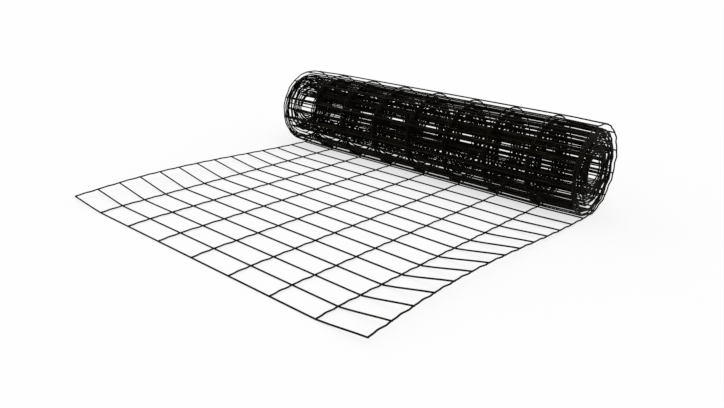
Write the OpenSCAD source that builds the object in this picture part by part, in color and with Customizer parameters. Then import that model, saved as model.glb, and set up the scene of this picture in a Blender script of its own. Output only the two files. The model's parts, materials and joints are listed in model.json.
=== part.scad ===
// Roll of welded wire garden fence, with its free end unrolled flat on the floor.
// X runs along the roll, -Y points to the free edge of the fence and Z points up.
// Crimped line wires run along the fence, and straight stays cross them.

/* [Mesh] */
// Spacing of the line wires, across the fence
line_pitch = 100; // [60:1:140]
// Number of bays across the fence
bays_across = 8; // [4:1:10]
// Spacing of the stays, along the fence
stay_pitch = 50; // [45:1:75]
// Diameter of the coated wire
wire_d = 3; // [2:0.1:3.4]
// Depth that two crossing wires sink into each other at a weld
weld_sink = 0.3; // [0.15:0.05:0.6]
// Sideways swing of the crimp, to each side of a line wire
crimp_swing = 1.1; // [0.5:0.1:4]

/* [Flat run] */
// Number of whole bays that lie flat in front of the roll
flat_bays = 13; // [6:1:18]
// Length of mesh between the last flat stay and the place where the mesh leaves the floor
foot_length = 24; // [5:1:40]
// Height of the curl along the right edge
right_lift = 22; // [0:1:40]
// Height of the curl along the left edge
left_lift = 15; // [0:1:40]

/* [Roll] */
// Diameter of the open core
core_d = 48; // [36:1:70]
// Distance from one tight turn to the next, which lie into each other
turn_pitch = 3.65; // [3.5:0.05:6]
// Number of tight turns
turns = 18; // [8:1:20]
// Depth of the grooves between the turns, on both ends
groove_depth = 10; // [5:1:30]

/* [Loose turn] */
// Room around the roll, if it lay in the middle of the loose turn
loose_room = 3.1; // [2:0.1:12]
// Distance that the roll pushes out the front of the loose turn
front_push = 5.2; // [0:0.1:8]
// Depth that the mesh under the roll lies into the mesh on the floor
floor_nest = 1; // [0:0.1:2]
// Angle around the roll that the loose turn covers
loose_wrap = 350; // [300:1:355]
// Clearance where the roll lies on the mesh around it
seat_clearance = 0.3; // [0.1:0.05:0.5]

/* [Hidden] */

// Number of sides of a wire, and of facets around the turned roll
wire_sides = 6;
roll_facets = 180;

// The crimp within one bay, from stay to stay: place along the bay and swing to the side
crimp_shares = [[0, 0], [0.18, 0], [0.42, -1], [0.74, 1], [0.92, 0], [1, 0]];

// Where a line wire bends within one bay, on the floor and around the loose turn
flat_bend_shares = [0.18, 0.42, 0.74, 0.92];
loose_bend_shares = [0.08, 0.42, 0.74];

// The curl of the edges: where along the flat run it is highest, and its height at the free edge
lift_peak_share = 0.3;
lift_free_share = 0.45;

// The stretches of the loose turn, as shares of its stays
stretch_shares = [0, 0.25, 0.5, 0.75, 1];

// The chamfer on the end of each turn, in the thickness of the wire
bead_chamfer_share = 0.3;

// Across the fence: half its width, the end of a stay and the place where the edge begins to curl
wire_r = wire_d / 2;
half_width = bays_across * line_pitch / 2;
stay_end = half_width + wire_r;
knee_x = half_width - line_pitch;

// A stay lies on the line wires, so the mesh is nearly two wires thick
stay_rise = wire_d - weld_sink;
mesh_t = wire_d + stay_rise;

// The tight roll, measured over the line wires of its last turn
core_r = core_d / 2;
roll_r = core_r + (turns - 1) * turn_pitch + wire_d;

// The loose turn: a loop along the centres of its line wires, which stands on the floor
loop_r = roll_r + loose_room + mesh_t - wire_r;
loop_z = loop_r + wire_r;
arc_degree = loop_r * PI / 180;
first_loose_stay = stay_pitch - foot_length;
loose_stays = floor((loose_wrap * arc_degree - first_loose_stay) / stay_pitch) + 1;
loose_end = first_loose_stay + (loose_stays - 1) * stay_pitch;
stretch_stays = [for (stretch_share = stretch_shares) round(stretch_share * loose_stays)];

// The flat run ends under the roll, where the loop leaves the floor
flat_length = flat_bays * stay_pitch + foot_length;
flat_stay_z = wire_r + stay_rise;

// The roll lies on the end of the loose turn, which lies on the floor's mesh, and pushes its front out
line_reach = roll_r + seat_clearance + mesh_t - wire_r;
roll_y = -(loose_room - seat_clearance + front_push);
roll_z = min(mesh_t - floor_nest + line_reach + wire_r, loop_z + loop_r - line_reach);

// Distance from the middle of the part to the place where the mesh leaves the floor
middle_y = (loop_r - flat_length) / 2;

// A point at an angle around the loop, from the floor up its back, as [y, z]
function loop_point(angle, radius) = [radius * sin(angle), loop_z - radius * cos(angle)];

// Radius of the line wires around the loop, which follow the roll where it pushes and from there on
function touch_radius(angle) =
    let (offset = [roll_y, roll_z - loop_z])
    let (along = offset[0] * sin(angle) - offset[1] * cos(angle))
    along + sqrt(line_reach^2 - offset * offset + along^2);
function line_radius(angle) =
    angle < 180 ? loop_r : angle < 270 ? max(loop_r, touch_radius(angle)) : touch_radius(angle);

// Sideways place of a line wire, at a distance along the mesh from any stay
function crimp(distance) =
    let (bays = distance / stay_pitch)
    crimp_swing * lookup(bays - floor(bays), crimp_shares);

// Height of a curled edge along the flat run, as a share of its highest
function lift_share(run) =
    let (along = run / flat_length)
    along < lift_peak_share
        ? lift_free_share + (1 - lift_free_share) * sin(90 * along / lift_peak_share)
        : (1 + cos(180 * (along - lift_peak_share) / (1 - lift_peak_share))) / 2;
function edge_lift(column, run) =
    (column == 0 ? left_lift : column == bays_across ? right_lift : 0) * lift_share(run);

// Distances from a stay at which a line wire bends, over a number of bays
function crimp_stations(bays, bend_shares) =
    [for (bay = [0 : bays - 1]) for (bend_share = bend_shares) (bay + bend_share) * stay_pitch];

// One cross-section of a wire, with a corner towards a direction
function wire_ring(centre, across, towards) = [
    for (side = [0 : wire_sides - 1])
        let (angle = 90 + 360 * side / wire_sides)
        centre + wire_r * (cos(angle) * across + sin(angle) * towards)
];

// A wire through a list of cross-sections
module swept_wire(rings) {
    last = len(rings) - 1;
    walls = [
        for (ring = [0 : last - 1])
            for (side = [0 : wire_sides - 1])
                let (next = (side + 1) % wire_sides)
                let (near = ring * wire_sides)
                let (far = near + wire_sides)
                [near + side, near + next, far + next, far + side]
    ];
    start_cap = [for (side = [wire_sides - 1 : -1 : 0]) side];
    end_cap = [for (side = [0 : wire_sides - 1]) last * wire_sides + side];
    polyhedron([for (ring = rings) each ring], concat([start_cap], walls, [end_cap]));
}

// A wire of straight parts, one between each two cross-sections
module jointed_wire(rings) {
    for (part = [0 : len(rings) - 2])
        hull() swept_wire([rings[part], rings[part + 1]]);
}

// A line wire of the flat run, from the free edge to the place where the mesh leaves the floor
module flat_line_wire(column) {
    free_end = -wire_r;
    bends = [for (run = crimp_stations(flat_bays + 1, flat_bend_shares)) if (run < flat_length) run];
    runs = concat([free_end], bends, [flat_length]);
    swept_wire([
        for (run = runs)
            let (x = column * line_pitch - half_width + crimp(max(0, run)))
            let (z = wire_r + edge_lift(column, max(0, run)))
            wire_ring([x, run - flat_length, z], [1, 0, 0], [0, 0, 1])
    ]);
}

// A stay of the flat run, straight but for the outer bays, which follow the curled edges
module flat_stay(run) {
    left_slope = edge_lift(0, run) / line_pitch;
    right_slope = edge_lift(bays_across, run) / line_pitch;
    outer_bay = line_pitch + wire_r;
    y = run - flat_length;
    jointed_wire([
        for (place = [
            [-stay_end, left_slope * outer_bay],
            [-knee_x, 0],
            [knee_x, 0],
            [stay_end, right_slope * outer_bay]
        ])
            wire_ring([place[0], y, flat_stay_z + place[1]], [0, -1, 0], [0, 0, 1])
    ]);
}

// A stretch of a line wire of the loose turn, without the bends that fall close to its ends
module loose_line_wire(column, start, end) {
    margin = 2 * wire_d;
    bends = [
        for (station = crimp_stations(loose_stays, loose_bend_shares))
            let (run = station - foot_length)
            if (run > start + margin && run < end - margin) run
    ];
    runs = concat([start], bends, [end]);
    swept_wire([
        for (run = runs)
            let (angle = run / arc_degree)
            let (place = loop_point(angle, line_radius(angle)))
            let (x = column * line_pitch - half_width + crimp(min(run, loose_end) + foot_length))
            wire_ring([x, place[0], place[1]], [1, 0, 0], [0, -sin(angle), cos(angle)])
    ]);
}

// A stay of the loose turn, in line from end to end on the inside of its line wires
module loose_stay(angle) {
    place = loop_point(angle, line_radius(angle) - stay_rise);
    jointed_wire([
        for (x = [-stay_end, -knee_x, 0, knee_x, stay_end])
            wire_ring([x, place[0], place[1]], [0, -cos(angle), -sin(angle)], [0, -sin(angle), cos(angle)])
    ]);
}

// Half of the roll's section as [radius, x], with a bead for each turn on its end
function end_section() =
    let (chamfer = bead_chamfer_share * wire_d)
    [
        for (turn = [0 : turns - 1])
            let (inside = core_r + turn * turn_pitch)
            let (outside = inside + wire_d)
            each concat(
                turn == 0 ? [] : [[inside, stay_end - groove_depth]],
                [
                    [inside, stay_end - chamfer],
                    [inside + chamfer, stay_end],
                    [outside - chamfer, stay_end],
                    [outside, stay_end - chamfer]
                ],
                turn == turns - 1 ? [] : [[outside, stay_end - groove_depth]]
            )
    ];

// The outside of the roll, from its right end to its left, with a hoop for each line wire
function hoop_section() =
    let (stay_r = roll_r - stay_rise)
    let (hoop_half = crimp_swing + wire_r)
    [
        for (column = [bays_across : -1 : 0])
            let (x = column * line_pitch - half_width)
            each concat(
                column == bays_across ? [] : [[stay_r, x + hoop_half], [roll_r, x + wire_r]],
                column == 0 ? [] : [[roll_r, x - wire_r], [stay_r, x - hoop_half]]
            )
    ];

module flat_run() {
    color("#1c1a18")
        translate([0, -middle_y, 0]) {
            for (column = [0 : bays_across])
                flat_line_wire(column);
            for (row = [0 : flat_bays])
                flat_stay(row * stay_pitch);
        }
}

// One stretch of the loose turn, from its first stay up to the first stay of the next
module loose_stretch(first, next) {
    start = first * stay_pitch;
    end = next == loose_stays ? loose_end + wire_r : next * stay_pitch;
    color("#1c1a18")
        translate([0, -middle_y, 0]) {
            for (column = [0 : bays_across])
                loose_line_wire(column, start, end);
            for (row = [first : next - 1])
                loose_stay((first_loose_stay + row * stay_pitch) / arc_degree);
        }
}

module loose_back() {
    loose_stretch(stretch_stays[0], stretch_stays[1]);
}

module loose_top() {
    loose_stretch(stretch_stays[1], stretch_stays[2]);
}

module loose_front() {
    loose_stretch(stretch_stays[2], stretch_stays[3]);
}

module loose_under() {
    loose_stretch(stretch_stays[3], stretch_stays[4]);
}

module wound_roll() {
    right_end = end_section();
    left_end = [for (index = [len(right_end) - 1 : -1 : 0]) [right_end[index][0], -right_end[index][1]]];
    color("#141312")
        translate([0, roll_y - middle_y, roll_z])
            rotate([0, 90, 0])
                rotate_extrude($fn = roll_facets)
                    polygon(concat(right_end, hoop_section(), left_end));
}

flat_run();
loose_back();
loose_top();
loose_front();
loose_under();
wound_roll();
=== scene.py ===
"""Part-unrolled roll of coated welded wire fence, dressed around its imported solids.

The fence is one strip of welded mesh: straight stays lie across it, and crimped line wires lie on them.
The whole strip follows one path in the YZ plane, from its free edge over the floor and round the roll to
the open core. Each stretch of that path has its own line wires, stays and weld beads.
"""
import json
import logging
import math
from dataclasses import dataclass, field
from enum import Enum

import bpy
import numpy as np
from mathutils import Matrix, Vector


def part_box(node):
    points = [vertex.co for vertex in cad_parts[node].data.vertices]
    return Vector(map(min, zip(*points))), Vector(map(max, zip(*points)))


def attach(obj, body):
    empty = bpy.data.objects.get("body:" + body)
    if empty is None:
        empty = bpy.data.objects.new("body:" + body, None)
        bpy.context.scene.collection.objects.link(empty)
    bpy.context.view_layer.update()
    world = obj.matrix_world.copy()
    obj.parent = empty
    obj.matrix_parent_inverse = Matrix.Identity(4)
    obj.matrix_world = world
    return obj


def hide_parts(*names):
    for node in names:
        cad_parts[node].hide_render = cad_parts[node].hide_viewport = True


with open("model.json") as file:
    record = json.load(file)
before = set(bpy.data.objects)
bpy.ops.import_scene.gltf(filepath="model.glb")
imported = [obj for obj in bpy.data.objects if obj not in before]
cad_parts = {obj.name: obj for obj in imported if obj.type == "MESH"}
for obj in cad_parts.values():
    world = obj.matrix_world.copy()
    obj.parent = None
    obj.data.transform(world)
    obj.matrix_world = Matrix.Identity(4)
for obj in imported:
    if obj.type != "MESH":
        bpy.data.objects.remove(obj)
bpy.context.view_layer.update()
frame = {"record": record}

LOG = logging.getLogger("fence_roll")
BODY = "root"
MM_PER_M = 1000
QUARTER_TURN = math.pi / 2
FULL_TURN = 2 * math.pi
AXIS_X = np.array([1.0, 0.0, 0.0])
WHITE = (1.0, 1.0, 1.0, 1.0)

# How the coat is rounded off at a cut end, in shares of the wire's radius
CUT_DEPTH_SHARES = (0.0, 0.12, 0.4)
CUT_RADIUS_SHARES = (0.6, 0.88, 1.0)

# Where a line wire has its rings of points within one bay
FINE_BAY_SHARES = (0.0, 0.09, 0.18, 0.24, 0.30, 0.36, 0.42, 0.50, 0.58, 0.66, 0.74, 0.80, 0.86, 0.92)
WOUND_BAY_SHARES = (0.0, 0.10, 0.18, 0.30, 0.42, 0.58, 0.74, 0.83, 0.92)

# Fineness of the noise in the coat's skin, and the values between which its clouds pass over
PATCH_DETAIL = 3.0
GRAIN_DETAIL = 2.0
CLOUD_LIMITS = (0.35, 0.65)

# Slopes on which dust settles and a painted highlight lies on what faces up, the fineness of its patches,
# and the values between which they show
DUST_AND_HIGHLIGHT_FACING_LIMITS = (0.1, 1.0)
DUST_AND_HIGHLIGHT_DETAIL = 4.0
DUST_AND_HIGHLIGHT_LIMITS = (0.4, 0.75)

# Fineness of the rubbed streaks, and the values between which they show
STREAK_DETAIL = 6.0
STREAK_ROUGHNESS = 0.7
STREAK_LIMITS = (0.62, 0.74)


def smooth_step(share: np.ndarray) -> np.ndarray:
    """A smooth passage from 0 to 1, for shares from 0 to 1."""
    part = np.clip(share, 0, 1)
    return part * part * (3 - 2 * part)


class Stretch(Enum):
    """The stretches of the fence, from its free edge to its core."""

    FLAT = "flat_run"
    LOOSE = "loose_turn"
    WOUND = "wound_roll"


class Strand(Enum):
    """The kinds of piece that each stretch is made of."""

    LINES = "line_wires"
    STAYS = "stays"
    WELDS = "weld_beads"


@dataclass(frozen=True)
class FenceSizes:
    """Sizes of the fence in metres, as in its solids, and the reach of its cut ends past the last wire."""

    line_pitch: float = 0.100
    bays_across: int = 8
    stay_pitch: float = 0.050
    wire_d: float = 0.003
    end_reach: float = 0.0006
    weld_sink: float = 0.0003
    crimp_swing: float = 0.0011
    flat_bays: int = 13
    foot_length: float = 0.024
    right_lift: float = 0.022
    left_lift: float = 0.015
    lift_peak_share: float = 0.3
    lift_free_share: float = 0.45
    turn_pitch: float = 0.00365
    turns: int = 18
    loose_room: float = 0.0031
    loose_stays: int = 12
    seat_clearance: float = 0.0003

    @property
    def wire_r(self) -> float:
        """Radius of the coated wire."""
        return self.wire_d / 2

    @property
    def half_width(self) -> float:
        """Half the width of the fence, to the middle of its edge wires."""
        return self.bays_across * self.line_pitch / 2

    @property
    def line_rise(self) -> float:
        """Distance from the middle of a stay to the middle of a line wire on it."""
        return self.wire_d - self.weld_sink

    @property
    def mesh_t(self) -> float:
        """Thickness of the mesh over both wires."""
        return self.wire_d + self.line_rise

    @property
    def flat_length(self) -> float:
        """Length of fence from the free edge to the place where it leaves the floor."""
        return self.flat_bays * self.stay_pitch + self.foot_length

    @property
    def loose_length(self) -> float:
        """Length of fence from the floor to the last stay of the loose turn."""
        return self.loose_stays * self.stay_pitch - self.foot_length


@dataclass(frozen=True)
class Ripple:
    """A smooth random curve, the sum of a few waves with seeded phases."""

    seed: int
    height: float
    waves: tuple[float, ...]

    def at(self, angle: np.ndarray) -> np.ndarray:
        """Height of the curve.

        Args:
            angle: Places along the curve, in radians of a wave of 1.

        Returns:
            The height at each place, within about plus and minus the ripple's height.
        """
        phases = np.random.default_rng(self.seed).uniform(0, FULL_TURN, len(self.waves))
        total = sum(np.sin(wave * angle + phase) for wave, phase in zip(self.waves, phases))
        return self.height * total / len(self.waves)


@dataclass
class FencePath:
    """The path of the stays in the YZ plane, by distance along the fence from its free edge.

    The stays lie on the floor and on the outside of the roll, and the line wires inside them.

    Args:
        sizes: Sizes of the fence.
        floor_y: Place where the fence leaves the floor.
        roll_centre: Middle of the open core, as (y, z).
        core_r: Radius of the open core.
        step: Distance between the samples of the path.
        outer_turns: Number of tight turns in the outer group.
        inner_turns: Number of tight turns in the inner group.
        outer_pitch: Distance from turn to turn in the outer group.
        group_gap: Room between the two groups.
        group_lead: How early the passage to the inner group begins, in turns.
        easing_angle: Angle over which the first tight turn leaves the loose turn.
        nest: How far the first tight turn reaches past the solid roll, into the loose turn.
        settle: Shift of the outer group, as (y, z).
        lean: Shift of the outermost of the inner turns, as (y, z).
        loose_spring: How far the loose turn springs out past its solids.
        loose_sag: How far the loose turn sags at its top.
        bulge_height: How far a stay presses out the turn around it.
        bulge_reach: Distance from that stay over which the turn is pressed out.
        bulge_passes: Number of times that the bulges are worked out, as they shift the stays.
        knee_round: Rounding of the bend where the edges of the flat run curl up.
        oval: How far the tight turns are out of round.
        looseness: How unevenly they are wound.
        sway: How far they are shifted sideways.
        skew: How far they are wound askew.
    """

    sizes: FenceSizes
    floor_y: float
    roll_centre: tuple[float, float]
    core_r: float
    step: float = 0.0005
    outer_turns: int = 5
    inner_turns: int = 12
    outer_pitch: float = 0.00296
    group_gap: float = 0.0035
    group_lead: float = 0.6
    easing_angle: float = math.radians(55)
    nest: float = 0.00178
    settle: tuple[float, float] = (-0.00144, -0.00292)
    lean: tuple[float, float] = (0.0001, 0.0021)
    loose_spring: float = 0.0016
    loose_sag: float = 0.0042
    bulge_height: float = 0.0014
    bulge_reach: float = 0.008
    bulge_passes: int = 3
    knee_round: float = 0.003
    oval: Ripple = Ripple(seed=16, height=0.0008, waves=(2.0, 3.0))
    looseness: Ripple = Ripple(seed=43, height=0.00053, waves=(1.37, 2.61, 4.23))
    sway: Ripple = Ripple(seed=44, height=0.0035, waves=(0.31, 0.73, 1.19))
    skew: Ripple = Ripple(seed=39, height=0.0095, waves=(0.17, 0.41, 0.83))
    runs: np.ndarray = field(init=False)
    places: np.ndarray = field(init=False)
    inward: np.ndarray = field(init=False)
    wound_start: float = field(init=False)

    def __post_init__(self) -> None:
        """Samples the whole path closely, once."""
        flat_runs, flat_places = self.flat_samples()
        loop_runs, loop_places = self.loop_samples()
        wound_runs, wound_places = self.wound_samples(loop_runs[-1], loop_places[-1])
        self.wound_start = float(loop_runs[-1])
        self.runs = np.concatenate([flat_runs, loop_runs, wound_runs])
        self.places = np.concatenate([flat_places, loop_places, wound_places])
        slope = np.gradient(self.places, self.runs, axis=0)
        slope /= np.linalg.norm(slope, axis=1, keepdims=True)
        self.inward = np.stack([-slope[:, 1], slope[:, 0]], axis=1)

    @property
    def outer_r(self) -> float:
        """Radius of the stays around the tight turns."""
        sizes = self.sizes
        return self.core_r + (sizes.turns - 1) * sizes.turn_pitch + sizes.wire_r

    @property
    def first_r(self) -> float:
        """Radius of the stays of the first tight turn, which nests into the loose turn."""
        return self.outer_r + self.nest

    @property
    def inner_r(self) -> float:
        """Radius of the stays of the innermost turn, whose line wires lie around the core."""
        return self.core_r + self.sizes.mesh_t - self.sizes.wire_r

    @property
    def loop_r(self) -> float:
        """Radius of the stays around the loose turn, which springs out a little."""
        sizes = self.sizes
        return self.outer_r + sizes.loose_room + sizes.mesh_t + self.loose_spring

    @property
    def end(self) -> float:
        """Distance along the fence to its last stay, at the core."""
        last = self.runs[-1] - self.skew.height - self.sizes.wire_d
        return math.floor(last / self.sizes.stay_pitch) * self.sizes.stay_pitch

    def flat_samples(self) -> tuple[np.ndarray, np.ndarray]:
        """Samples the path along the floor.

        Returns:
            The distances along the fence, and the (y, z) places.
        """
        sizes = self.sizes
        runs = np.arange(-sizes.wire_d, sizes.flat_length, self.step)
        heights = np.full_like(runs, sizes.wire_r)
        return runs, np.stack([self.floor_y + runs - sizes.flat_length, heights], axis=1)

    def loop_samples(self) -> tuple[np.ndarray, np.ndarray]:
        """Samples the path around the loose turn, which sags on top and leans on the roll in front.

        Returns:
            The distances along the fence, and the (y, z) places.
        """
        sizes = self.sizes
        centre = np.array([self.floor_y, self.loop_r + sizes.wire_r])
        lengths = np.linspace(0, sizes.loose_length, int(sizes.loose_length / self.step) + 1)
        angles = lengths / self.loop_r
        offset = np.array(self.roll_centre) - centre
        along = offset[0] * np.sin(angles) - offset[1] * np.cos(angles)
        reach = self.outer_r + sizes.seat_clearance + sizes.mesh_t
        leaning = along + np.sqrt(reach**2 - offset @ offset + along**2)
        sagging = self.loop_r - self.loose_sag * smooth_step(angles / QUARTER_TURN - 1)
        pushed = np.where(angles < 3 * QUARTER_TURN, np.maximum(sagging, leaning), leaning)
        radii = np.where(angles < 2 * QUARTER_TURN, sagging, pushed)
        places = centre + radii[:, None] * np.stack([np.sin(angles), -np.cos(angles)], axis=1)
        return sizes.flat_length + lengths, places

    def wound_samples(self, run: float, place: np.ndarray) -> tuple[np.ndarray, np.ndarray]:
        """Samples the path of the tight turns, down to the core.

        Args:
            run: Distance along the fence to the end of the loose turn.
            place: The (y, z) place there.

        Returns:
            The distances along the fence, and the (y, z) places.
        """
        arm = place - np.array(self.roll_centre)
        start_r = float(np.linalg.norm(arm))
        start_angle = math.atan2(arm[0], -arm[1]) % FULL_TURN
        end_angle = FULL_TURN * (1 + self.outer_turns + self.inner_turns)
        samples = int((end_angle - start_angle) * self.outer_r / self.step)
        angles = np.linspace(start_angle, end_angle, samples)
        turned = np.maximum(0, angles / FULL_TURN - 1)
        eased = (1 - np.cos(math.pi * np.clip((angles - start_angle) / self.easing_angle, 0, 1))) / 2
        wound = self.wound_radii(turned) + self.oval.at(angles) * np.clip(turned, 0, 1)
        wound += self.looseness.at(angles) * np.clip(turned, 0, 1)
        wound += (start_r - self.first_r) * (1 - eased)
        settled = eased * (1 - self.group_step(turned))
        centres = np.array(self.roll_centre) + self.lean_share(turned)[:, None] * np.array(self.lean)
        centres += settled[:, None] * np.array(self.settle)
        spokes = np.stack([np.sin(angles), -np.cos(angles)], axis=1)
        bulges = np.zeros_like(angles)
        for _ in range(self.bulge_passes):
            places = centres + (wound + bulges)[:, None] * spokes
            lengths = np.linalg.norm(np.diff(places, axis=0), axis=1)
            runs = run + np.concatenate([[0.0], np.cumsum(lengths)])
            bulges = self.stay_bulges(angles, runs, wound)
        return runs[1:], places[1:]

    def group_step(self, turned: np.ndarray) -> np.ndarray:
        """Passage from the outer turns to the inner ones, from 0 to 1, by turns wound."""
        return smooth_step(turned - self.outer_turns + self.group_lead)

    def wound_radii(self, turned: np.ndarray) -> np.ndarray:
        """Radius of the stays: a few outer turns, a gap, and the inner turns.

        Args:
            turned: Number of tight turns wound so far, at each place.

        Returns:
            The radius at each place.
        """
        outer_drop = self.outer_turns * self.outer_pitch + self.group_gap
        inner_pitch = (self.first_r - outer_drop - self.inner_r) / self.inner_turns
        outer_part = np.minimum(turned, self.outer_turns) * self.outer_pitch
        inner_part = np.maximum(0, turned - self.outer_turns) * inner_pitch
        return self.first_r - outer_part - self.group_gap * self.group_step(turned) - inner_part

    def lean_share(self, turned: np.ndarray) -> np.ndarray:
        """Share of the lean that the inner turns have, from 0 to 1, by turns wound."""
        fall = np.clip((turned - self.outer_turns) / self.inner_turns, 0, 1)
        return self.group_step(turned) * (1 - fall)

    def stay_bulges(self, angles: np.ndarray, runs: np.ndarray, radii: np.ndarray) -> np.ndarray:
        """Height by which a stay of the turn inside presses a tight turn out.

        Args:
            angles: Angles along the path, through all turns.
            runs: Distances along the fence there.
            radii: Radii of the path there.

        Returns:
            The height at each angle.
        """
        pitch = self.sizes.stay_pitch
        rows = np.arange(math.ceil(runs[0] / pitch), math.floor(runs[-1] / pitch) + 1) * pitch
        stay_angles = np.interp(rows, runs, angles)
        inside = angles + FULL_TURN
        after = np.clip(np.searchsorted(stay_angles, inside), 1, len(stay_angles) - 1)
        past = np.abs(inside - stay_angles[after - 1])
        ahead = np.abs(stay_angles[after] - inside)
        nearest = np.minimum(past, ahead)
        pressed = np.exp(-(nearest * radii / self.bulge_reach) ** 2)
        return np.where(angles > FULL_TURN, self.bulge_height * pressed, 0.0)

    def place_at(self, run: np.ndarray) -> np.ndarray:
        """The (y, z) places at distances along the fence."""
        return np.stack([np.interp(run, self.runs, self.places[:, axis]) for axis in (0, 1)], axis=1)

    def inward_at(self, run: np.ndarray) -> np.ndarray:
        """The (y, z) directions from the stays to the line wires."""
        side = np.stack([np.interp(run, self.runs, self.inward[:, axis]) for axis in (0, 1)], axis=1)
        return side / np.linalg.norm(side, axis=1, keepdims=True)

    def sway_at(self, run: np.ndarray) -> np.ndarray:
        """Sideways shift of the tight turns, which don't lie exactly over each other."""
        wound = np.maximum(0, run - self.wound_start) / self.outer_r
        return np.clip(wound, 0, 1) * self.sway.at(wound)

    def skewed(self, x: np.ndarray, run: np.ndarray) -> np.ndarray:
        """Distances along the path, where the tight turns are wound a little askew.

        Args:
            x: Places across the fence.
            run: Distances along the fence, in its middle.

        Returns:
            The distance at each place, which differs most at the two edges.
        """
        wound = np.maximum(0, run - self.wound_start) / self.outer_r
        return run + x / self.sizes.half_width * np.clip(wound, 0, 1) * self.skew.at(wound)

    def lift_at(self, x: np.ndarray, run: np.ndarray) -> np.ndarray:
        """Height that the curled edges of the flat run stand above the floor.

        Args:
            x: Places across the fence.
            run: Distances along the fence.

        Returns:
            The height at each place, which is zero beyond the flat run.
        """
        sizes = self.sizes
        peak = sizes.lift_peak_share
        along = np.clip(run / sizes.flat_length, 0, 1)
        swell = np.sin(QUARTER_TURN * np.minimum(along / peak, 1))
        rising = sizes.lift_free_share + (1 - sizes.lift_free_share) * swell
        falling = (1 + np.cos(math.pi * (along - peak) / (1 - peak))) / 2
        share = np.where(along < peak, rising, falling)
        beyond = np.abs(x) - (sizes.half_width - sizes.line_pitch)
        bent = (beyond + np.sqrt(beyond**2 + self.knee_round**2)) / 2
        height = np.where(x < 0, sizes.left_lift, sizes.right_lift)
        return height * share * bent / sizes.line_pitch


@dataclass
class WireMesh:
    """The vertices and faces of one piece, gathered wire by wire."""

    vertices: list[np.ndarray] = field(default_factory=list)
    faces: list[np.ndarray] = field(default_factory=list)
    flat_faces: list[np.ndarray] = field(default_factory=list)
    count: int = 0

    def add_wire(self, centres: np.ndarray, inward: np.ndarray, radii: np.ndarray, sides: int) -> None:
        """Adds a wire with flat ends.

        Args:
            centres: Points along the middle of the wire.
            inward: A direction across the wire at each point.
            radii: Radius of the wire at each point.
            sides: Number of sides around the wire.
        """
        slope = np.gradient(centres, axis=0)
        across = np.cross(slope, inward)
        across /= np.linalg.norm(across, axis=1, keepdims=True)
        upright = np.cross(across, slope)
        upright /= np.linalg.norm(upright, axis=1, keepdims=True)
        turn = np.arange(sides) * FULL_TURN / sides
        rim = np.cos(turn)[None, :, None] * across[:, None, :]
        rim = rim + np.sin(turn)[None, :, None] * upright[:, None, :]
        rings = centres[:, None, :] + radii[:, None, None] * rim
        index = self.count + np.arange(len(centres) * sides).reshape(len(centres), sides)
        following = np.roll(index, -1, axis=1)
        walls = np.stack([index[:-1], index[1:], following[1:], following[:-1]], axis=-1)
        self.vertices.append(rings.reshape(-1, 3))
        self.faces.append(walls.reshape(-1, 4))
        self.flat_faces.append(np.stack([index[0], index[-1][::-1]]))
        self.count += index.size

    def add_beads(self, centres: np.ndarray, axes: np.ndarray) -> None:
        """Adds one small rounded bead at each place.

        Args:
            centres: Middles of the beads.
            axes: For each bead, its three half axes as rows.
        """
        shape, shape_faces = bead_shape()
        for centre, half_axes in zip(centres, axes):
            self.vertices.append(centre + shape @ half_axes)
            self.faces.append(shape_faces + self.count)
            self.count += len(shape)

    def build(self, name: str, material: bpy.types.Material) -> bpy.types.Object:
        """Makes the gathered faces into an object.

        Args:
            name: Name of the piece.
            material: Its finish.

        Returns:
            The new object, linked to the scene.
        """
        mesh = bpy.data.meshes.new(name)
        round_faces = np.concatenate(self.faces).tolist()
        cut_faces = np.concatenate(self.flat_faces).tolist() if self.flat_faces else []
        mesh.from_pydata(np.concatenate(self.vertices).tolist(), [], round_faces + cut_faces)
        smooth = np.arange(len(mesh.polygons)) < len(round_faces)
        mesh.polygons.foreach_set("use_smooth", smooth)
        mesh.materials.append(material)
        mesh.update()
        piece = bpy.data.objects.new(name, mesh)
        bpy.context.scene.collection.objects.link(piece)
        return piece


def with_cut_ends(
        places: np.ndarray, wire_r: float, first: bool, last: bool) -> tuple[np.ndarray, np.ndarray]:
    """Adds places at the cut ends of a wire, where its coat is rounded off.

    Args:
        places: Places along the wire, from end to end.
        wire_r: Radius of the wire.
        first: Whether the wire is cut at its first place.
        last: Whether the wire is cut at its last place.

    Returns:
        The places along the wire, and the share of its radius that it has at each.
    """
    depths = np.array(CUT_DEPTH_SHARES) * wire_r
    head = places[0] + depths if first else places[:1]
    tail = places[-1] - depths[::-1] if last else places[-1:]
    head_shares = CUT_RADIUS_SHARES if first else (1.0,)
    tail_shares = CUT_RADIUS_SHARES[::-1] if last else (1.0,)
    inner = places[1:-1]
    shares = np.concatenate([head_shares, np.ones_like(inner), tail_shares])
    return np.concatenate([head, inner, tail]), shares


def bead_shape() -> tuple[np.ndarray, np.ndarray]:
    """The shape of a weld bead of radius one, a rounded cube with two faces along each edge.

    Returns:
        Its corners, and its faces as rows of corners.
    """
    corners: dict[tuple[int, ...], int] = {}
    faces = []
    for axis in range(3):
        for side in (-1, 1):
            for u in (-1, 0):
                for v in (-1, 0):
                    loop = [(u, v), (u + 1, v), (u + 1, v + 1), (u, v + 1)]
                    points = [tuple(np.roll((side, *place), axis)) for place in loop]
                    ids = [corners.setdefault(point, len(corners)) for point in points]
                    faces.append(ids if side > 0 else ids[::-1])
    shape = np.array(list(corners), dtype=float)
    return shape / np.linalg.norm(shape, axis=1, keepdims=True), np.array(faces)


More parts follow.
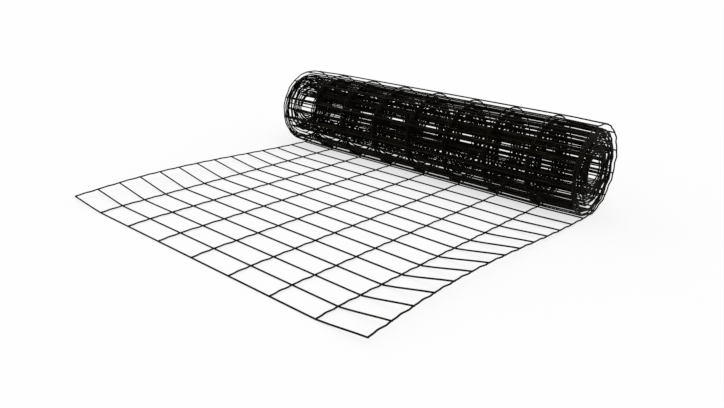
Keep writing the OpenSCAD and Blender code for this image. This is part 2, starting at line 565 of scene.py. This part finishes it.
@dataclass(frozen=True)
class NodeBoard:
    """A node tree, with short calls to add nodes and link them."""

    tree: bpy.types.NodeTree

    def add(self, kind: str, **values: object) -> bpy.types.Node:
        """Adds a node.

        Args:
            kind: Blender's name of the node type.
            **values: Properties of the node to set.

        Returns:
            The new node.
        """
        node = self.tree.nodes.new(kind)
        for key, value in values.items():
            setattr(node, key, value)
        return node

    def link(self, source: bpy.types.NodeSocket, target: bpy.types.NodeSocket) -> None:
        """Links an output to an input."""
        self.tree.links.new(source, target)

    def noise(self, place: bpy.types.NodeSocket, scale: bpy.types.NodeSocket,
              detail: float) -> bpy.types.Node:
        """Adds a noise texture.

        Args:
            place: Socket with the point to read it at.
            scale: Socket with its scale.
            detail: Number of finer layers.

        Returns:
            The noise node.
        """
        noise = self.add("ShaderNodeTexNoise")
        noise.inputs["Detail"].default_value = detail
        self.link(place, noise.inputs["Vector"])
        self.link(scale, noise.inputs["Scale"])
        return noise

    def remap(self, value: bpy.types.NodeSocket, limits: tuple[float, float]) -> bpy.types.Node:
        """Adds a smooth step that goes from 0 to 1 between two limits.

        Args:
            value: Socket with the value to step.
            limits: Values at which the step begins and ends.

        Returns:
            The step's node.
        """
        step = self.add("ShaderNodeMapRange", interpolation_type="SMOOTHSTEP")
        self.link(value, step.inputs["Value"])
        step.inputs["From Min"].default_value = limits[0]
        step.inputs["From Max"].default_value = limits[1]
        return step

    def math(self, operation: str, first: bpy.types.NodeSocket,
             second: bpy.types.NodeSocket) -> bpy.types.Node:
        """Adds a calculation with two sockets.

        Args:
            operation: Blender's name of the calculation.
            first: Socket with the first value.
            second: Socket with the second value.

        Returns:
            The calculation's node.
        """
        total = self.add("ShaderNodeMath", operation=operation)
        self.link(first, total.inputs[0])
        self.link(second, total.inputs[1])
        return total

    def place_group(self, group: bpy.types.NodeTree, place: bpy.types.NodeSocket,
                    values: dict[str, object]) -> bpy.types.Node:
        """Places a group.

        Args:
            group: The group.
            place: Socket with the point on the surface.
            values: Values for the group's other inputs.

        Returns:
            The group's node.
        """
        node = self.add("ShaderNodeGroup", node_tree=group)
        for key, value in values.items():
            node.inputs[key].default_value = value
        self.link(place, node.inputs["Place"])
        return node

    def tint(self, below: bpy.types.NodeSocket, mask: bpy.types.NodeSocket,
             color: tuple[float, float, float]) -> bpy.types.NodeSocket:
        """Lays a colour over another by a mask.

        Args:
            below: Socket with the colour underneath.
            mask: Socket with the share of the colour on top.
            color: The colour on top.

        Returns:
            The socket of the mixed colour.
        """
        mix = self.add("ShaderNodeMix", data_type="RGBA")
        mix.inputs["B"].default_value = (*color, 1.0)
        self.link(mask, mix.inputs["Factor"])
        self.link(below, mix.inputs["A"])
        return mix.outputs["Result"]


def new_group(name: str, inputs: dict[str, str], outputs: dict[str, str]) -> tuple[NodeBoard, dict, dict]:
    """Starts a shader node group.

    Args:
        name: Name of the group.
        inputs: Name and socket type of each input.
        outputs: Name and socket type of each output.

    Returns:
        The group's board, and its input and output sockets by name.
    """
    tree = bpy.data.node_groups.new(name, "ShaderNodeTree")
    for socket, kind in inputs.items():
        tree.interface.new_socket(name=socket, in_out="INPUT", socket_type=kind)
    for socket, kind in outputs.items():
        tree.interface.new_socket(name=socket, in_out="OUTPUT", socket_type=kind)
    board = NodeBoard(tree)
    entry = board.add("NodeGroupInput")
    leave = board.add("NodeGroupOutput")
    return board, {key: entry.outputs[key] for key in inputs}, {key: leave.inputs[key] for key in outputs}


def coat_skin_group() -> bpy.types.NodeTree:
    """The skin of a dipped coat: cloudy patches of shade, grain in its gloss, and a fine uneven surface.

    Returns:
        The group, with a colour, a roughness and a height.
    """
    board, given, out = new_group(
        "CoatSkin",
        {"Place": "NodeSocketVector", "Patch Scale": "NodeSocketFloat", "Grain Scale": "NodeSocketFloat",
         "Dark": "NodeSocketColor", "Light": "NodeSocketColor",
         "Gloss Low": "NodeSocketFloat", "Gloss High": "NodeSocketFloat"},
        {"Color": "NodeSocketColor", "Roughness": "NodeSocketFloat", "Height": "NodeSocketFloat"})
    patches = board.noise(given["Place"], given["Patch Scale"], PATCH_DETAIL)
    grain = board.noise(given["Place"], given["Grain Scale"], GRAIN_DETAIL)
    cloud = board.remap(patches.outputs["Fac"], CLOUD_LIMITS)
    shade = board.add("ShaderNodeMix", data_type="RGBA")
    board.link(cloud.outputs["Result"], shade.inputs["Factor"])
    board.link(given["Dark"], shade.inputs["A"])
    board.link(given["Light"], shade.inputs["B"])
    gloss = board.add("ShaderNodeMix", data_type="FLOAT")
    board.link(grain.outputs["Fac"], gloss.inputs["Factor"])
    board.link(given["Gloss Low"], gloss.inputs["A"])
    board.link(given["Gloss High"], gloss.inputs["B"])
    board.link(shade.outputs["Result"], out["Color"])
    board.link(gloss.outputs["Result"], out["Roughness"])
    board.link(grain.outputs["Fac"], out["Height"])
    return board.tree


def dust_and_highlight_group() -> bpy.types.NodeTree:
    """Dust that has settled on what faces up, in loose patches, and a painted highlight on the same upward
    faces, where the light falls.

    Returns:
        The group, with a mask.
    """
    board, given, out = new_group(
        "SettledDustAndHighlight",
        {"Place": "NodeSocketVector", "Normal": "NodeSocketVector", "Patch Scale": "NodeSocketFloat",
         "Amount": "NodeSocketFloat"},
        {"Mask": "NodeSocketFloat"})
    facing = board.add("ShaderNodeSeparateXYZ")
    board.link(given["Normal"], facing.inputs["Vector"])
    upward = board.remap(facing.outputs["Z"], DUST_AND_HIGHLIGHT_FACING_LIMITS)
    patches = board.noise(given["Place"], given["Patch Scale"], DUST_AND_HIGHLIGHT_DETAIL)
    patchy = board.remap(patches.outputs["Fac"], DUST_AND_HIGHLIGHT_LIMITS)
    settled = board.math("MULTIPLY", upward.outputs["Result"], patchy.outputs["Result"])
    mask = board.math("MULTIPLY", settled.outputs["Value"], given["Amount"])
    board.link(mask.outputs["Value"], out["Mask"])
    return board.tree


def scuff_group() -> bpy.types.NodeTree:
    """Short rubbed streaks where one turn has slid over the next.

    Returns:
        The group, with a mask.
    """
    board, given, out = new_group(
        "RubbedStreaks",
        {"Place": "NodeSocketVector", "Streak Scale": "NodeSocketFloat", "Amount": "NodeSocketFloat"},
        {"Mask": "NodeSocketFloat"})
    streaks = board.noise(given["Place"], given["Streak Scale"], STREAK_DETAIL)
    streaks.inputs["Roughness"].default_value = STREAK_ROUGHNESS
    worn = board.remap(streaks.outputs["Fac"], STREAK_LIMITS)
    mask = board.math("MULTIPLY", worn.outputs["Result"], given["Amount"])
    board.link(mask.outputs["Value"], out["Mask"])
    return board.tree


@dataclass(frozen=True)
class CoatGroups:
    """The shader groups that every coat shares."""

    skin: bpy.types.NodeTree
    dust_and_highlight: bpy.types.NodeTree
    scuff: bpy.types.NodeTree


@dataclass(frozen=True)
class CoatFinish:
    """A black plastic coat on steel wire, with the wear and dust that lie on it, and a painted highlight
    on its upward faces.
    """

    slot: str
    dark: tuple[float, float, float]
    light: tuple[float, float, float]
    # The dust colour is also a painted warm highlight, laid on the upward faces where the light falls
    dust_and_highlight_color: tuple[float, float, float] = (0.026, 0.020, 0.012)
    scuff_color: tuple[float, float, float] = (0.022, 0.018, 0.012)
    dust_and_highlight_amount: float = 0.7
    scuff_amount: float = 0.5
    gloss_low: float = 0.38
    gloss_high: float = 0.58
    scuff_roughness: float = 0.7
    specular: float = 0.035
    specular_tint: tuple[float, float, float] = (1.0, 0.93, 0.76)
    patch_scale: float = 55.0
    grain_scale: float = 1400.0
    streak_scale: float = 240.0
    bump_depth: float = 0.00008

    def material(self, groups: CoatGroups) -> bpy.types.Material:
        """Makes the material.

        Args:
            groups: The shared shader groups.

        Returns:
            The new material, named for its slot.
        """
        material = bpy.data.materials.new(self.slot)
        material.use_nodes = True
        board = NodeBoard(material.node_tree)
        shader = material.node_tree.nodes["Principled BSDF"]
        shader.inputs["Specular IOR Level"].default_value = self.specular
        shader.inputs["Specular Tint"].default_value = (*self.specular_tint, 1.0)
        place = board.add("ShaderNodeTexCoord").outputs["Object"]
        normal = board.add("ShaderNodeNewGeometry").outputs["Normal"]
        skin = board.place_group(groups.skin, place, {
            "Patch Scale": self.patch_scale, "Grain Scale": self.grain_scale,
            "Dark": (*self.dark, 1.0), "Light": (*self.light, 1.0),
            "Gloss Low": self.gloss_low, "Gloss High": self.gloss_high})
        scuff = board.place_group(groups.scuff, place, {
            "Streak Scale": self.streak_scale, "Amount": self.scuff_amount})
        # Dust on upward faces, which also paints a highlight where the light falls on them
        dust_and_highlight = board.place_group(groups.dust_and_highlight, place, {
            "Patch Scale": self.patch_scale, "Amount": self.dust_and_highlight_amount})
        board.link(normal, dust_and_highlight.inputs["Normal"])
        rubbed = board.tint(skin.outputs["Color"], scuff.outputs["Mask"], self.scuff_color)
        dusted_and_highlighted = board.tint(rubbed, dust_and_highlight.outputs["Mask"], self.dust_and_highlight_color)
        rough = board.add("ShaderNodeMix", data_type="FLOAT")
        rough.inputs["B"].default_value = self.scuff_roughness
        board.link(scuff.outputs["Mask"], rough.inputs["Factor"])
        board.link(skin.outputs["Roughness"], rough.inputs["A"])
        bump = board.add("ShaderNodeBump")
        bump.inputs["Distance"].default_value = self.bump_depth
        board.link(skin.outputs["Height"], bump.inputs["Height"])
        board.link(dusted_and_highlighted, shader.inputs["Base Color"])
        board.link(rough.outputs["Result"], shader.inputs["Roughness"])
        board.link(bump.outputs["Normal"], shader.inputs["Normal"])
        return material


@dataclass
class FenceStretch:
    """One stretch of the fence: its line wires, its stays and the beads where they are welded.

    Args:
        stretch: Which stretch this is.
        path: The path that the fence follows.
        start: Distance along the fence to where the stretch begins.
        stop: Distance along the fence to where it ends.
        material: Finish of the wire.
        slot: The record's material slot for it; not used.
        nodes: The solids that this stretch stands for.
        cut_start: Whether the line wires are cut where the stretch begins.
        cut_stop: Whether the line wires are cut where it ends.
        line_sides: Number of sides around a line wire.
        stay_sides: Number of sides around a stay.
        stay_parts: Number of parts that a stay is divided into.
        coat_wave: Unevenness of the coat, as a share of the wire's radius.
        coat_waves: Waves of that unevenness along a wire, in radians a metre.
        stay_seed: Seed of the first stay's unevenness, after those of the line wires.
        edge_sink: How much deeper the outermost welds are pressed than the others.
        stay_bend: Distance over which a stay bends to an edge wire.
        line_bend: Distance over which a line wire bends to the stay at the free edge.
        bead_reach: Half the width of a weld bead, as a share of the wire's radius.
        bead_depth: Height of a weld bead, as a share of the thickness of the mesh.
        bay_shares: Where a line wire has its rings of points within one bay.
        crimp_stations: Where the crimp turns within one bay.
        crimp_swings: Its swing to the side there, as a share of the full swing.
    """

    stretch: Stretch
    path: FencePath
    start: float
    stop: float
    material: bpy.types.Material
    slot: str
    nodes: tuple[str, ...]
    cut_start: bool = False
    cut_stop: bool = False
    line_sides: int = 10
    stay_sides: int = 10
    stay_parts: int = 32
    coat_wave: float = 0.03
    coat_waves: tuple[float, ...] = (61.0, 137.0, 251.0)
    stay_seed: int = 100
    edge_sink: float = 0.0019
    stay_bend: float = 0.09
    line_bend: float = 0.045
    bead_reach: float = 1.15
    bead_depth: float = 0.55
    bay_shares: tuple[float, ...] = FINE_BAY_SHARES
    crimp_stations: tuple[float, ...] = (0.0, 0.18, 0.42, 0.74, 0.92, 1.0)
    crimp_swings: tuple[float, ...] = (0.0, 0.0, -1.0, 1.0, 0.0, 0.0)

    @property
    def stay_runs(self) -> np.ndarray:
        """Distances along the fence to this stretch's stays."""
        pitch = self.path.sizes.stay_pitch
        rows = np.arange(math.ceil(self.path.end / pitch) + 1) * pitch
        margin = self.path.step
        return rows[(rows > self.start + margin) & (rows < self.stop + margin)]

    @property
    def columns(self) -> np.ndarray:
        """Places of the line wires across the fence."""
        sizes = self.path.sizes
        return np.arange(sizes.bays_across + 1) * sizes.line_pitch - sizes.half_width

    def crimp_at(self, run: np.ndarray) -> np.ndarray:
        """Sideways swing of a crimped line wire.

        Args:
            run: Distances along the fence.

        Returns:
            The swing at each distance.
        """
        share = np.mod(np.maximum(run, 0) / self.path.sizes.stay_pitch, 1.0)
        stations = np.array(self.crimp_stations)
        swings = np.array(self.crimp_swings)
        after = np.clip(np.searchsorted(stations, share, side="right"), 1, len(stations) - 1)
        part = (share - stations[after - 1]) / (stations[after] - stations[after - 1])
        swing = swings[after - 1] + (swings[after] - swings[after - 1]) * smooth_step(part)
        return self.path.sizes.crimp_swing * swing

    def line_runs(self) -> np.ndarray:
        """Places along a line wire where it has a ring of points.

        Returns:
            The distances along the fence.
        """
        pitch = self.path.sizes.stay_pitch
        bays = np.arange(math.floor(self.start / pitch), math.ceil(self.stop / pitch) + 1)
        inner = (bays[:, None] + np.array(self.bay_shares)[None, :]).ravel() * pitch
        margin = self.path.sizes.wire_r / 2
        inner = inner[(inner > self.start + margin) & (inner < self.stop - margin)]
        return np.concatenate([[self.start], inner, [self.stop]])

    def edge_share(self, x: np.ndarray) -> np.ndarray:
        """How far the stays have bent to the edge wires, from 0 to 1, at places across the fence."""
        return smooth_step(1 - (self.path.sizes.half_width - np.abs(x)) / self.stay_bend)

    def line_points(self, x: float, run: np.ndarray) -> np.ndarray:
        """Points along the middle of a line wire.

        Args:
            x: Place of the wire across the fence.
            run: Distances along the fence.

        Returns:
            The points, as rows of x, y and z.
        """
        columns = np.full_like(run, x)
        path_runs = self.path.skewed(columns, run)
        sunk = np.maximum(0, smooth_step(1 - run / self.line_bend) - self.edge_share(columns))
        rise = self.path.sizes.line_rise - self.edge_sink * sunk
        places = self.path.place_at(path_runs) + rise[:, None] * self.path.inward_at(path_runs)
        places[:, 1] += self.path.lift_at(columns, run)
        return np.column_stack([columns + self.crimp_at(run) + self.path.sway_at(run), places])

    def stay_points(self, x: np.ndarray, run: float) -> np.ndarray:
        """Points along the middle of a stay.

        Args:
            x: Places across the fence.
            run: Distance along the fence to the stay.

        Returns:
            The points, as rows of x, y and z.
        """
        runs = np.full_like(x, run)
        path_runs = self.path.skewed(x, runs)
        rise = self.edge_sink * self.edge_share(x)
        places = self.path.place_at(path_runs) + rise[:, None] * self.path.inward_at(path_runs)
        places[:, 1] += self.path.lift_at(x, runs)
        return np.column_stack([x + self.path.sway_at(runs), places])

    def coat_radii(self, places: np.ndarray, seed: int) -> np.ndarray:
        """Radius of the coated wire along it, which is not quite even."""
        ripple = Ripple(seed=seed, height=self.coat_wave, waves=self.coat_waves)
        return self.path.sizes.wire_r * (1 + ripple.at(places))

    def make_lines(self) -> WireMesh:
        """Makes the crimped line wires.

        Returns:
            Their vertices and faces.
        """
        mesh = WireMesh()
        wire_r = self.path.sizes.wire_r
        runs, rounding = with_cut_ends(self.line_runs(), wire_r, self.cut_start, self.cut_stop)
        inward = np.column_stack([np.zeros_like(runs), self.path.inward_at(runs)])
        for column, x in enumerate(self.columns):
            radii = rounding * self.coat_radii(runs, column)
            mesh.add_wire(self.line_points(x, runs), inward, radii, self.line_sides)
        return mesh

    def make_stays(self) -> WireMesh:
        """Makes the stays, with rounded ends.

        Returns:
            Their vertices and faces.
        """
        mesh = WireMesh()
        sizes = self.path.sizes
        reach = sizes.half_width + sizes.end_reach
        even = np.linspace(-reach, reach, self.stay_parts + 1)
        x, rounding = with_cut_ends(even, sizes.wire_r, True, True)
        for row, run in enumerate(self.stay_runs):
            side = self.path.inward_at(np.array([run]))[0]
            inward = np.tile([0.0, side[0], side[1]], (len(x), 1))
            radii = rounding * self.coat_radii(x, self.stay_seed + row)
            mesh.add_wire(self.stay_points(x, run), inward, radii, self.stay_sides)
        return mesh

    def make_welds(self) -> WireMesh:
        """Makes the beads of coat that fill the corners where a stay crosses a line wire.

        Returns:
            Their vertices and faces.
        """
        mesh = WireMesh()
        sizes = self.path.sizes
        for run in self.stay_runs:
            lines = np.concatenate([self.line_points(x, np.array([run])) for x in self.columns])
            middles = (lines + self.stay_points(self.columns, run)) / 2
            side = self.path.inward_at(np.array([run]))[0]
            upright = np.array([0.0, side[0], side[1]])
            forward = np.cross(upright, AXIS_X)
            reach = self.bead_reach * sizes.wire_r
            height = self.bead_depth * sizes.mesh_t / 2
            axes = np.stack([reach * AXIS_X, reach * forward, height * upright])
            mesh.add_beads(middles, np.tile(axes, (len(middles), 1, 1)))
        return mesh

    def build(self) -> None:
        """Makes the pieces, sets them on the body and hides the solids that they stand for."""
        makers = {
            Strand.LINES: self.make_lines,
            Strand.STAYS: self.make_stays,
            Strand.WELDS: self.make_welds}
        for strand, make in makers.items():
            piece = make().build(f"{self.stretch.value}_{strand.value}", self.material)
            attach(piece, BODY)
            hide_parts(*self.nodes)
            LOG.info("%s: %d faces", piece.name, len(piece.data.polygons))


def seen_mask(board: NodeBoard) -> bpy.types.NodeSocket:
    """A mask for what the camera sees, also in gloss and through glass.

    Args:
        board: Nodes of the material or the world.

    Returns:
        The socket of the mask, which is 1 there and 0 elsewhere.
    """
    ray = board.add("ShaderNodeLightPath").outputs
    gloss = board.math("MAXIMUM", ray["Is Camera Ray"], ray["Is Glossy Ray"])
    seen = board.math("MAXIMUM", gloss.outputs["Value"], ray["Is Transmission Ray"])
    return seen.outputs["Value"]


@dataclass(frozen=True)
class Studio:
    """A white floor, soft even light and a camera at the photograph's angle."""

    floor_size: float = 60.0
    floor_color: tuple[float, float, float] = (0.95, 0.95, 0.95)
    floor_glow: float = 0.7
    sky_strength: float = 0.72
    sun_strength: float = 1.2
    sun_angle: float = 50.0
    sun_tilt: tuple[float, float, float] = (38.0, 0.0, 55.0)
    lens: float = 34.91
    sensor: float = 36.0
    eye: tuple[float, float, float] = (0.93406, -1.00714, 0.50700)
    yaw: float = -0.7243
    pitch: float = 0.3543
    roll: float = 0.022

    def build(self) -> None:
        """Makes the floor, the light and the camera."""
        self.make_floor()
        self.make_world()
        self.make_sun()
        self.make_camera()

    def make_floor(self) -> None:
        """A large white floor that keeps the object's shadow."""
        half = self.floor_size / 2
        mesh = bpy.data.meshes.new("floor")
        corners = [(-half, -half, 0), (half, -half, 0), (half, half, 0), (-half, half, 0)]
        mesh.from_pydata(corners, [], [(0, 1, 2, 3)])
        floor = bpy.data.objects.new("floor", mesh)
        bpy.context.scene.collection.objects.link(floor)
        material = bpy.data.materials.new("white_floor")
        material.use_nodes = True
        material.node_tree.nodes.clear()
        board = NodeBoard(material.node_tree)
        matt = board.add("ShaderNodeBsdfDiffuse")
        matt.inputs["Color"].default_value = (*self.floor_color, 1.0)
        glow = board.add("ShaderNodeEmission")
        share = board.add("ShaderNodeMath", operation="MULTIPLY")
        share.inputs[1].default_value = self.floor_glow
        board.link(seen_mask(board), share.inputs[0])
        mix = board.add("ShaderNodeMixShader")
        board.link(share.outputs["Value"], mix.inputs["Fac"])
        board.link(matt.outputs["BSDF"], mix.inputs[1])
        board.link(glow.outputs["Emission"], mix.inputs[2])
        output = board.add("ShaderNodeOutputMaterial")
        board.link(mix.outputs["Shader"], output.inputs["Surface"])
        mesh.materials.append(material)

    def make_world(self) -> None:
        """An even white sky, which is plain white where it is seen."""
        world = bpy.data.worlds.new("white_sky")
        world.use_nodes = True
        world.node_tree.nodes.clear()
        board = NodeBoard(world.node_tree)
        lit = board.add("ShaderNodeBackground")
        lit.inputs["Strength"].default_value = self.sky_strength
        lit.inputs["Color"].default_value = WHITE
        shown = board.add("ShaderNodeBackground")
        shown.inputs["Color"].default_value = WHITE
        mix = board.add("ShaderNodeMixShader")
        board.link(seen_mask(board), mix.inputs["Fac"])
        board.link(lit.outputs["Background"], mix.inputs[1])
        board.link(shown.outputs["Background"], mix.inputs[2])
        output = board.add("ShaderNodeOutputWorld")
        board.link(mix.outputs["Shader"], output.inputs["Surface"])
        bpy.context.scene.world = world

    def make_sun(self) -> None:
        """A wide soft lamp from above."""
        lamp = bpy.data.lights.new("soft_sun", "SUN")
        lamp.energy = self.sun_strength
        lamp.angle = math.radians(self.sun_angle)
        sun = bpy.data.objects.new("soft_sun", lamp)
        sun.rotation_euler = [math.radians(angle) for angle in self.sun_tilt]
        bpy.context.scene.collection.objects.link(sun)

    def make_camera(self) -> None:
        """The camera, level but for a slight roll."""
        camera = bpy.data.cameras.new("camera")
        camera.lens = self.lens
        camera.sensor_width = self.sensor
        camera.sensor_fit = "HORIZONTAL"
        camera.clip_end = self.floor_size
        forward = Vector((
            math.sin(self.yaw) * math.cos(self.pitch),
            math.cos(self.yaw) * math.cos(self.pitch),
            -math.sin(self.pitch)))
        level = Vector((math.cos(self.yaw), -math.sin(self.yaw), 0.0))
        upright = level.cross(forward)
        right = level * math.cos(self.roll) + upright * math.sin(self.roll)
        up = upright * math.cos(self.roll) - level * math.sin(self.roll)
        stand = bpy.data.objects.new("camera", camera)
        turn = Matrix((right, up, -forward)).transposed()
        stand.matrix_world = Matrix.Translation(Vector(self.eye)) @ turn.to_4x4()
        bpy.context.scene.collection.objects.link(stand)
        bpy.context.scene.camera = stand


def main() -> None:
    """Builds the fence, stretch by stretch, and the studio around it."""
    logging.basicConfig(level=logging.INFO, format="%(message)s")
    sizes = FenceSizes()
    bore = frame["record"]["mounts"][0]
    path = FencePath(
        sizes=sizes,
        floor_y=float(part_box("flat_run")[1].y),
        roll_centre=(bore["pos_m"][1], bore["pos_m"][2]),
        core_r=bore["dims"]["r_mm"] / MM_PER_M)
    groups = CoatGroups(skin=coat_skin_group(), dust_and_highlight=dust_and_highlight_group(), scuff=scuff_group())
    coated = CoatFinish(slot="coated_wire", dark=(0.0020, 0.0017, 0.0010), light=(0.0045, 0.0038, 0.0024))
    # The wound coat is a darker copy of the same coat: painted shade for the inside of the roll
    wound = CoatFinish(slot="wound_wire", dark=(0.0014, 0.0011, 0.0006), light=(0.0032, 0.0027, 0.0016))
    coated_material = coated.material(groups)
    shaded_wound_material = wound.material(groups)
    loose_nodes = ("loose_back", "loose_top", "loose_front", "loose_under")
    FenceStretch(Stretch.FLAT, path, -sizes.end_reach, sizes.flat_length,
                 coated_material, coated.slot, ("flat_run",), cut_start=True).build()
    FenceStretch(Stretch.LOOSE, path, sizes.flat_length, path.wound_start,
                 coated_material, coated.slot, loose_nodes).build()
    FenceStretch(Stretch.WOUND, path, path.wound_start, path.end + sizes.end_reach,
                 shaded_wound_material, wound.slot, ("wound_roll",), cut_stop=True, line_sides=8, stay_sides=8,
                 bay_shares=WOUND_BAY_SHARES).build()
    Studio().build()
    bpy.context.scene.view_settings.view_transform = "Standard"


if __name__ == "__main__":
    main()
